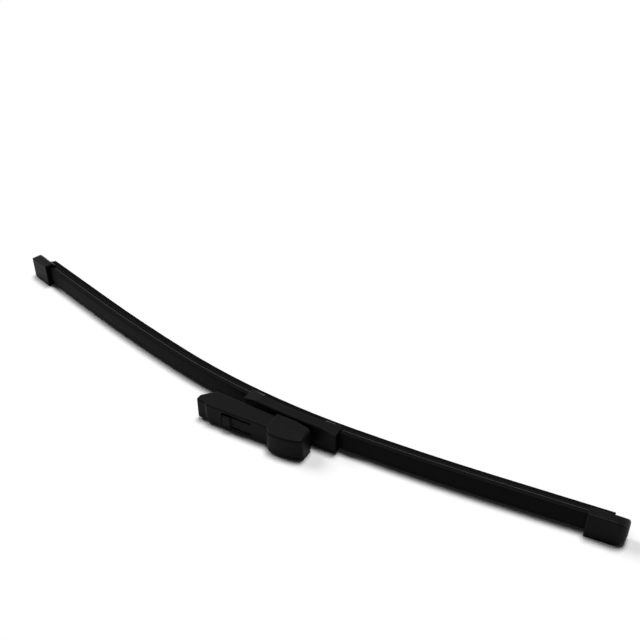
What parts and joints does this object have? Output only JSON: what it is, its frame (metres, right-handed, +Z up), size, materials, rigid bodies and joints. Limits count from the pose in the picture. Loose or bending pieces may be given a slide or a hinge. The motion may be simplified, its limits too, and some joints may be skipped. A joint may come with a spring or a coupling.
{
  "type": "wiper blade",
  "caption": "Flat wiper blade on its side: rubber lip on sprung steel rails under a clipped cover with end caps, and a rocking adapter whose hollow nose plugs into the arm.",
  "frame": {"origin": "middle of the footprint, on the table that the blade lies on", "axes": "+X along the blade, +Y from its back to the wiping lip, +Z up from the table"},
  "size_m": [0.395, 0.0558, 0.0148],
  "materials": {
    "rubber": "matte",
    "cover": "satin",
    "moulding": "satin",
    "rail_steel": "black coated",
    "pin_steel": "ground"
  },
  "bodies": {
    "blade": {"wiper_rubber": "rubber", "rail_upper": "rail_steel", "rail_lower": "rail_steel", "cover_left": "cover", "cover_right": "cover", "end_cap_left": "moulding", "end_cap_right": "moulding", "connector_base": "moulding", "pivot_pin": "pin_steel"},
    "adapter": {"adapter": "moulding"}
  },
  "joints": [
    {"name": "adapter_pivot", "type": "hinge", "parent": "blade", "child": "adapter", "pos_m": [0.03373, -0.01561, 0.00741], "axis": [0, 0, 1], "range_deg": [-5, 9.5]}
  ]
}
